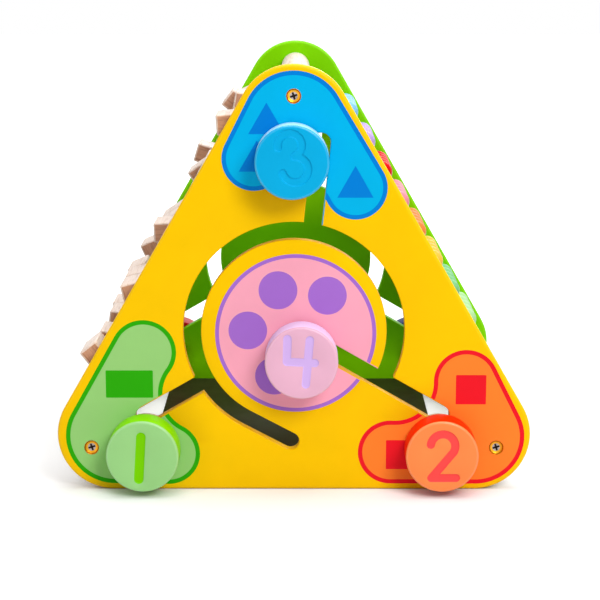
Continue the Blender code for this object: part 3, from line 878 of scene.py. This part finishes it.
def board_prints():
    """Prints of a board in order, each an outline and a material number."""
    feet = corner_centres(CORNER_OFFSET)
    corners = (feet[2], feet[0], feet[1])
    prints = []
    for corner, (shift, *lobes), (border, fill_number) in zip(corners, ZONES, PRINT_NUMBERS):
        outline = zone_outline((corner.x + shift[0], corner.y + shift[1], shift[2]), lobes)
        prints.append((outline, border))
        prints.append((grown(outline, -ZONE_BORDER), fill_number))
    prints += [(box_loop(*sides), PRINT_NUMBERS[zone][0]) for *sides, zone in BOX_PRINTS]
    prints += [(triangle_loop(*sides), PRINT_NUMBERS[zone][0]) for *sides, zone in TRIANGLE_PRINTS]
    disc, disc_fill = PRINT_NUMBERS[3]
    prints.append((circle(DISC_CENTRE, DISC_RADIUS, 128), disc))
    prints.append((circle(DISC_CENTRE, DISC_RADIUS - DISC_BORDER, 128), disc_fill))
    prints += [(circle(place, DOT_RADIUS, 64), disc) for place in DOT_PLACES]
    return prints


# Boards


def make_board(name, node, side, paints):
    """End board with its channels, screw holes and prints."""
    plate = Plate(BOARD_THICKNESS, side * BOARD_FACE, -side)
    edge = rounded_outline(corner_centres(CORNER_OFFSET), BOARD_CORNER_RADIUS, 40)
    plate.outline(edge, BOARD_EDGE_ROUND, 5, (BOARD_RIM,))
    rim = rounded_rim(CHANNEL_EDGE_ROUND, 3, 1)
    steps = rim + [(growth, BOARD_THICKNESS - depth) for growth, depth in reversed(rim)]
    plate.hole(maze_outline(), steps)
    rim_growth = COUNTERSINK_RADIUS + COUNTERSINK_RIM - SCREW_HOLE_RADIUS
    seat_growth = COUNTERSINK_RADIUS - SCREW_HOLE_RADIUS
    for centre in corner_centres(BAR_OFFSET):
        steps = [(rim_growth, 0), (seat_growth, SCREW_HEAD_SINK), (0, SCREW_HEAD_SINK + SCREW_HEAD_HEIGHT),
                 (0, BOARD_THICKNESS)]
        plate.hole(circle(centre, SCREW_HOLE_RADIUS, 40), steps, (COUNTERSINK,))
    prints = board_prints()
    bm = plate.finish(OUTER_FACE, INNER_FACE, prints)
    lips = [face for face in bm.faces if face.smooth and face.material_index == OUTER_FACE
            and abs(face.calc_center_median().y - side * BOARD_FACE) < CHANNEL_EDGE_ROUND]
    middles = np.array([(middle.x, middle.z) for middle in (face.calc_center_median() for face in lips)])
    for loop, number in prints:
        for index in np.flatnonzero(inside(middles, loop)):
            lips[index].material_index = number
    return put(name, bm, paints, "frame", node)


def make_screws(name, side):
    """Three countersunk screws with a cross recess."""
    bm = bmesh.new()
    head_face = BOARD_FACE - SCREW_HEAD_SINK
    tip_depth = SCREW_LENGTH - SCREW_TIP_RADIUS
    narrow = CROSS_HALF_WIDTH * CROSS_TAPER
    for centre in corner_centres(BAR_OFFSET):
        plate = Plate(SCREW_HEAD_HEIGHT, side * head_face, -side)
        steps = [(-SCREW_DISH_WIDTH, SCREW_DISH_DEPTH), (-SCREW_HEAD_RIM, 0), (0, SCREW_HEAD_RIM),
                 (SCREW_SHANK_RADIUS - SCREW_HEAD_RADIUS, SCREW_HEAD_HEIGHT),
                 (SCREW_SHANK_RADIUS - SCREW_HEAD_RADIUS, SCREW_TAPER_DEPTH),
                 (SCREW_TIP_RADIUS - SCREW_HEAD_RADIUS, tip_depth)]
        top, bottom = plate.wall(circle(centre, SCREW_HEAD_RADIUS, 40), steps, (2, 2, 0))
        cross = []
        for quarter in range(4):
            turn = math.radians(90 * quarter + CROSS_TURN)
            for along, over in ((CROSS_HALF_WIDTH, -CROSS_HALF_WIDTH), (CROSS_ARM, -narrow),
                                (CROSS_ARM, narrow)):
                cross.append(Vector((centre.x + along * math.cos(turn) - over * math.sin(turn),
                                     centre.y + along * math.sin(turn) + over * math.cos(turn))))
        # Painted shade: the recess walls and floor take the dark metal
        recess, floor = plate.wall(cross, [(0, SCREW_DISH_DEPTH), (-CROSS_LEAN, CROSS_DEPTH)], (1,))
        plate.cap(floor, [], CROSS_DEPTH, 1)
        plate.cap(top, [recess], SCREW_DISH_DEPTH)
        plate.cap(bottom, [], tip_depth)
        mesh = bpy.data.meshes.new("screw")
        bmesh.ops.recalc_face_normals(plate.bm, faces=plate.bm.faces)
        plate.bm.to_mesh(mesh)
        plate.bm.free()
        bm.from_mesh(mesh)
        bpy.data.meshes.remove(mesh)
    return put(name, bm, (STEEL, RECESS_SHADE_STEEL, GOLDEN), "frame")


# Knobs


# Material numbers of a front knob
KNOB_FACE = 0
KNOB_SIDE = 1
KNOB_NUMERAL = 2
KNOB_RIM = 3


def numeral_loops():
    """Strokes of the numerals 1 to 4, measured from the middle of a knob's face."""
    step = math.radians(6)
    half = NUMERAL_HALF_WIDTH
    one = [(-0.0006, 0.0133), (-0.0024, -0.0149)]
    two = arc((0.0003, 0.0073), 0.0079, math.radians(173), math.radians(-32), step)
    two += [Vector((-0.0069, -0.0140)), Vector((0.0090, -0.0139))]
    three = arc((-0.0014, 0.0110), 0.0075, math.radians(192), math.radians(-66), step)
    three += arc((0.0020, -0.0042), 0.0081, math.radians(94), math.radians(-163), step)
    left_stroke = [(-0.0089, 0.0160), (-0.0093, 0.0011), (0.0085, 0.0003)]
    right_stroke = [(0.0053, 0.0152), (0.0028, -0.0137)]
    return (
        union_outline([stroke_outline(one, NUMERAL_ONE_HALF_WIDTH, 16)]),
        union_outline([stroke_outline(two, half, 16)]),
        union_outline([stroke_outline(three, half, 16)]),
        union_outline([stroke_outline(left_stroke, half, 16), stroke_outline(right_stroke, half, 16)]),
    )


def make_front_knob(number, numeral):
    """Round knob with a routed numeral."""
    x, z = KNOB_PLACES[number - 1]
    face = -(BOARD_FACE + KNOB_STANDOFF + KNOB_THICKNESS)
    plate = Plate(KNOB_THICKNESS, 0, 1)
    plate.outline(circle((0, 0), KNOB_RADIUS, 96), KNOB_EDGE_ROUND, 5, (KNOB_RIM,) * 5 + (KNOB_SIDE,))
    share = NUMERAL_DEPTH_SHARES[number - 1]
    groove = [(growth, depth * share) for growth, depth in NUMERAL_GROOVE]
    plate.pocket(numeral, groove, True, KNOB_NUMERAL)
    socket = circle((0, 0), PEG_RADIUS + RUNNING, 32)
    plate.pocket(socket, [(0, 0), (0, PEG_SOCKET_DEPTH)], False, KNOB_SIDE)
    bm = plate.finish(KNOB_FACE, KNOB_SIDE)
    node = f"front_knob_{number}"
    put(f"knob_{number}", bm, KNOB_PAINTS[number - 1], node, node, (x, face, z))


def retainer_profile(side, radius):
    """Profile of the peg's foot and the retainer disc behind the board."""
    inner = side * (HALF_SPACING - RETAINER_STANDOFF)
    end = inner - side * RETAINER_THICKNESS
    soft = RETAINER_EDGE_ROUND
    nick = soft * SOFT_CORNER_SHARE
    return [
        (PEG_RADIUS, inner),
        (radius - soft, inner),
        (radius - nick, inner - side * nick),
        (radius, inner - side * soft),
        (radius, end + side * soft),
        (radius - nick, end + side * nick),
        (radius - soft, end),
        (0, end),
    ]


def make_front_glide(number):
    """Peg with its retainer disc."""
    x, z = KNOB_PLACES[number - 1]
    tip = -(BOARD_FACE + KNOB_STANDOFF + PEG_SOCKET_DEPTH - TOUCH)
    profile = [(0, tip), (PEG_RADIUS, tip)] + retainer_profile(-1, RETAINER_RADII[number - 1])
    node = f"front_glide_{number}"
    put(f"glide_{number}", turned(profile, 64), (ROD_WOOD,), node, node, (x, 0, z))


def make_back_knob(number):
    """Plain knob with its peg and retainer disc."""
    x, z = KNOB_PLACES[number - 1]
    back = BOARD_FACE + KNOB_STANDOFF
    face = back + KNOB_THICKNESS
    rim = rounded_rim(KNOB_EDGE_ROUND, 5, -1)
    profile = [(0, face)] + [(KNOB_RADIUS + growth, face - depth) for growth, depth in rim]
    profile += [(KNOB_RADIUS + growth, back + depth) for growth, depth in reversed(rim)]
    profile.append((PEG_RADIUS, back))
    profile += retainer_profile(1, BACK_RETAINER_RADIUS)
    node = f"back_knob_{number}"
    put(f"rear_knob_{number}", turned(profile, 80), (BACK_KNOB_PAINTS[number - 1],), node, node,
        (x, 0, z))


# Bars, rods, base


def make_bar(name, centre):
    """Round bar with soft ends."""
    end = HALF_SPACING - TOUCH
    floor = HALF_SPACING - BAR_HOLE_DEPTH
    soft = BAR_EDGE_ROUND
    nick = soft * SOFT_CORNER_SHARE
    half = [(0, floor), (SCREW_HOLE_RADIUS, floor), (SCREW_HOLE_RADIUS, end), (BAR_RADIUS - soft, end),
            (BAR_RADIUS - nick, end - nick), (BAR_RADIUS, end - soft)]
    profile = half + [(radius, -y) for radius, y in reversed(half)]
    put(f"{name}_fine", turned(profile, 72), (BAR_WOOD,), "frame", name,
        (centre.x, 0, centre.y))


def make_rod(node, radius):
    """Thin rod."""
    end = HALF_SPACING + ROD_SEAT_DEPTH - TOUCH
    place = node_centre(node)
    put(f"{node}_fine", turned([(0, end), (radius, end), (radius, -end), (0, -end)], 32), (ROD_WOOD,),
        "frame", node, (place.x, 0, place.z))


def make_base():
    """Bottom board with softened long edges."""
    end = HALF_SPACING + GROOVE_DEPTH - TOUCH
    plate = Plate(2 * end, -end, 1)
    half = BASE_WIDTH / 2
    section = box_loop(-half, half, BASE_HEIGHT, BASE_HEIGHT + BASE_THICKNESS, BASE_EDGE_ROUND)
    plate.outline(section, BASE_END_ROUND, 2)
    put("bottom_board", plate.finish(), (DARK_BOARD,), "frame", "base_board")


# Beads


def make_bead_row(row):
    """Row of round beads, pushed against the back board."""
    node = f"bead_row_{row + 1}"
    place = node_centre(node)
    low = math.asin((BEAD_ROD_RADIUS + RUNNING) / BEAD_RADIUS)
    half = BEAD_LENGTH / 2
    profile = []
    for index in range(BEAD_STEPS + 1):
        angle = low + (math.pi - 2 * low) * index / BEAD_STEPS
        profile.append((BEAD_RADIUS * math.sin(angle), -math.cos(angle) / math.cos(low) * half))
    bm = bmesh.new()
    back = HALF_SPACING - TOUCH
    for index in range(BEADS_IN_ROW):
        turned(profile, 40, bm, back - BEAD_LENGTH * (index + 0.5))
    put(f"beads_{row + 1}", bm, (BEAD_PAINTS[row],), node, node,
        (place.x, 0, place.z))


# Flip blocks


# Printed figures of the blocks: disc, square, triangle, star, two bars and flower
LABEL_FIGURES = (
    [circle((0, 0), 0.0085, 40)],
    [box_loop(-0.0078, 0.0078, -0.0078, 0.0078)],
    [triangle_loop(-0.0095, 0.0095, -0.0075, 0.009)],
    [[polar((0, 0), 0.0045 if k % 2 else 0.0102, math.radians(90 + 36 * k)) for k in range(10)]],
    [box_loop(-0.0115, 0.0115, 0.0035, 0.0085), box_loop(-0.0115, 0.0115, -0.0085, -0.0035)],
    [circle(polar((0, 0), 0.0068, math.radians(60 * k)), 0.0026, 20) for k in range(6)]
    + [circle((0, 0), 0.003, 24)],
)
LABEL_PAINTS = (
    paint("label_blue", rgb(96, 150, 196), 0.5),
    paint("label_purple", rgb(134, 106, 178), 0.5),
    paint("label_red", rgb(214, 84, 84), 0.5),
    paint("label_green", rgb(116, 178, 112), 0.5),
    paint("label_orange", rgb(236, 158, 90), 0.5),
)
# Blocks with a figure on one side only, by row and column
PLAIN_BLOCKS = {(0, 0), (0, 3), (1, 2), (1, 3), (2, 1), (2, 2), (2, 3)}


def make_block(row, column, turn):
    """Flip block with a bore along its length and a printed figure on one or both big faces."""
    node = f"flip_block_{row + 1}_{column + 1}"
    place = node_centre(node)
    soft = BLOCK_EDGE_ROUND
    half_width = BLOCK_WIDTH / 2 - soft
    half_thickness = BLOCK_THICKNESS / 2 - soft
    corners = [(half_width, -half_thickness), (half_width, half_thickness),
               (-half_width, half_thickness), (-half_width, -half_thickness)]
    plate = Plate(BLOCK_LENGTH, -BLOCK_LENGTH / 2, 1)
    plate.outline(rounded_outline(corners, soft, 4), soft, 4)
    bore = circle((0, 0), BLOCK_ROD_RADIUS + RUNNING, 32)
    plate.hole(bore, [(BORE_RIM, 0), (0, BORE_RIM), (0, BLOCK_LENGTH - BORE_RIM), (BORE_RIM, BLOCK_LENGTH)])
    bm = plate.finish()
    for face in bm.faces:
        if not all(abs(abs(vert.co.y) - BLOCK_LENGTH / 2) < 1e-5 for vert in face.verts):
            face.material_index = 1
    for face_side in ((-1,) if (row, column) in PLAIN_BLOCKS else (1, -1)):
        kind = (row * 2 + column * 3 + (0 if face_side == 1 else 2)) % len(LABEL_FIGURES)
        number = 2 + (row + 2 * column + (0 if face_side == 1 else 3)) % len(LABEL_PAINTS)
        height = face_side * (BLOCK_THICKNESS / 2 + PRINT_LIFT)
        for loop in LABEL_FIGURES[kind]:
            verts = [bm.verts.new((p.x, p.y, height)) for p in loop]
            face = bm.faces.new(verts if face_side == 1 else verts[::-1])
            face.material_index = number
    put(f"block_{row + 1}_{column + 1}", bm, (BLOCK_END, BLOCK_SIDE) + LABEL_PAINTS, node, node,
        place, -math.radians(turn))


# Everything on the object

FRONT_PAINTS = (YELLOW, GOLDEN, GREEN_DARK, GREEN_LIGHT, RED, ORANGE, BLUE_DARK, BLUE_LIGHT, PURPLE, PINK,
                YELLOW_RIM, YELLOW)
BACK_PAINTS = (GREEN, GOLDEN, RED, ORANGE, BLUE_DARK, BLUE_LIGHT, AMBER_DARK, AMBER, PURPLE, PINK,
               GREEN_RIM, GREEN_INNER)
make_board("front_board", "front_panel", -1, FRONT_PAINTS)
make_board("back_board", "back_panel", 1, BACK_PAINTS)
make_screws("front_screws", -1)
make_screws("back_screws", 1)
make_base()
for bar, middle in zip(("right_bar", "top_bar", "left_bar"), corner_centres(BAR_OFFSET)):
    make_bar(bar, middle)
NUMERALS = numeral_loops()
for knob in range(1, 5):
    make_front_knob(knob, NUMERALS[knob - 1])
    make_front_glide(knob)
    make_back_knob(knob)
for rod in range(1, len(BLOCK_REST_TURNS) + 1):
    make_rod(f"block_rod_{rod}", BLOCK_ROD_RADIUS)
for rod in range(1, BEAD_ROWS + 1):
    make_rod(f"bead_rod_{rod}", BEAD_ROD_RADIUS)
for row in range(BEAD_ROWS):
    make_bead_row(row)
for row, turns in enumerate(BLOCK_REST_TURNS):
    for column, turn in enumerate(turns):
        make_block(row, column, turn)


# Floor, lights, background and camera


FLOOR_HALF = 6.0
FLOOR_TONES = (0.66, 0.68)
# Glow of the floor to the eye: it rises from low to full over these distances from the middle, with more of
# it right under the object as painted light that lightens its shadow there, and less within the reach of
# whatever stands on it
GLOW_START = 0.2
GLOW_END = 0.8
GLOW_LOW = 0.3
UNDER_START = 0.12
UNDER_END = 0.17
UNDER_GLOW = 0.55
CONTACT_REACH = 0.035
CONTACT_START = 0.12
CONTACT_END = 0.5
WORLD_LIGHT = 0.17
CAMERA_PLACE = (0.006164, -1.287317, 0.351585)
CAMERA_PITCH = 0.1944199
CAMERA_YAW = 0.0018814
CAMERA_LENS = 108
SENSOR_WIDTH = 36
# Each lamp: name, place, target, size and power
LAMPS = (
    ("key", (0.75, -1.5, 1.25), (0, 0, 0.12), 0.8, 24),
    ("top", (0.1, 0.05, 2.0), (0, 0, 0.1), 1.5, 36),
    ("left", (-1.4, -1.2, 0.8), (0, 0, 0.12), 1.2, 3),
    ("rear", (0.5, 1.7, 0.9), (0, 0.15, 0.12), 1.2, 9),
)


def seen_ray(tree):
    """1 for what the eye sees, straight or in a mirror or through glass, 0 for all other light."""
    path = tree.nodes.new("ShaderNodeLightPath")
    mirrored = calculated(tree, "MAXIMUM", path.outputs["Is Glossy Ray"], path.outputs["Is Transmission Ray"])
    return calculated(tree, "MAXIMUM", path.outputs["Is Camera Ray"], mirrored)


def make_floor():
    """Pale floor that reads as plain white and keeps the object's shadow, save for painted light right under
    the object.
    """
    bm = bmesh.new()
    corners = ((-1, -1), (1, -1), (1, 1), (-1, 1))
    bm.faces.new([bm.verts.new((x * FLOOR_HALF, y * FLOOR_HALF, 0)) for x, y in corners])
    mesh = bpy.data.meshes.new("floor")
    bm.to_mesh(mesh)
    bm.free()
    material, tree, shader, vector = new_material("floor")
    first, second = ((tone, tone, tone, 1) for tone in FLOOR_TONES)
    tone = ramp(tree, noise(tree, vector, 3, 2), ((0.3, first), (0.7, second)))
    tree.links.new(tone, shader.inputs["Base Color"])
    shader.inputs["Roughness"].default_value = 0.6
    shader.inputs["Specular IOR Level"].default_value = 0.2
    distance = tree.nodes.new("ShaderNodeVectorMath")
    distance.operation = "LENGTH"
    tree.links.new(vector, distance.inputs[0])
    reach = distance.outputs["Value"]
    around = value_range(tree, reach, GLOW_LOW, 1.0, GLOW_START, GLOW_END, True)
    # Painted light: more glow right under the object lightens its shadow there
    under = value_range(tree, reach, UNDER_GLOW, 0.0, UNDER_START, UNDER_END, True)
    glow = calculated(tree, "MAXIMUM", around, under)
    glow = calculated(tree, "MULTIPLY", glow, seen_ray(tree))
    bare = value_range(tree, openness(tree, CONTACT_REACH), 0.0, 1.0, CONTACT_START, CONTACT_END)
    shader.inputs["Emission Color"].default_value = (1, 1, 1, 1)
    tree.links.new(calculated(tree, "MULTIPLY", glow, bare), shader.inputs["Emission Strength"])
    mesh.materials.append(material)
    floor = bpy.data.objects.new("floor", mesh)
    bpy.context.collection.objects.link(floor)


def make_world():
    """White to the eye and in reflections, darker as a light."""
    world = bpy.data.worlds.new("studio")
    bpy.context.scene.world = world
    world.use_nodes = True
    tree = world.node_tree
    background = tree.nodes["Background"]
    background.inputs["Color"].default_value = (1, 1, 1, 1)
    tree.links.new(value_range(tree, seen_ray(tree), WORLD_LIGHT, 1.0), background.inputs["Strength"])


def make_lamp(name, place, target, size, power):
    """Soft square lamp aimed at a point."""
    lamp = bpy.data.lights.new(name, "AREA")
    lamp.size = size
    lamp.energy = power
    item = bpy.data.objects.new(name, lamp)
    item.location = place
    item.rotation_euler = (Vector(target) - Vector(place)).to_track_quat("-Z", "Y").to_euler()
    bpy.context.collection.objects.link(item)


def make_camera():
    """Camera in front of the numbered board, a little above it."""
    camera = bpy.data.cameras.new("camera")
    camera.lens = CAMERA_LENS
    camera.sensor_width = SENSOR_WIDTH
    item = bpy.data.objects.new("camera", camera)
    item.location = CAMERA_PLACE
    item.rotation_euler = (math.pi / 2 - CAMERA_PITCH, 0, CAMERA_YAW)
    bpy.context.collection.objects.link(item)
    bpy.context.scene.camera = item


make_floor()
make_world()
for lamp in LAMPS:
    make_lamp(*lamp)
make_camera()
bpy.context.scene.view_settings.view_transform = "Standard"
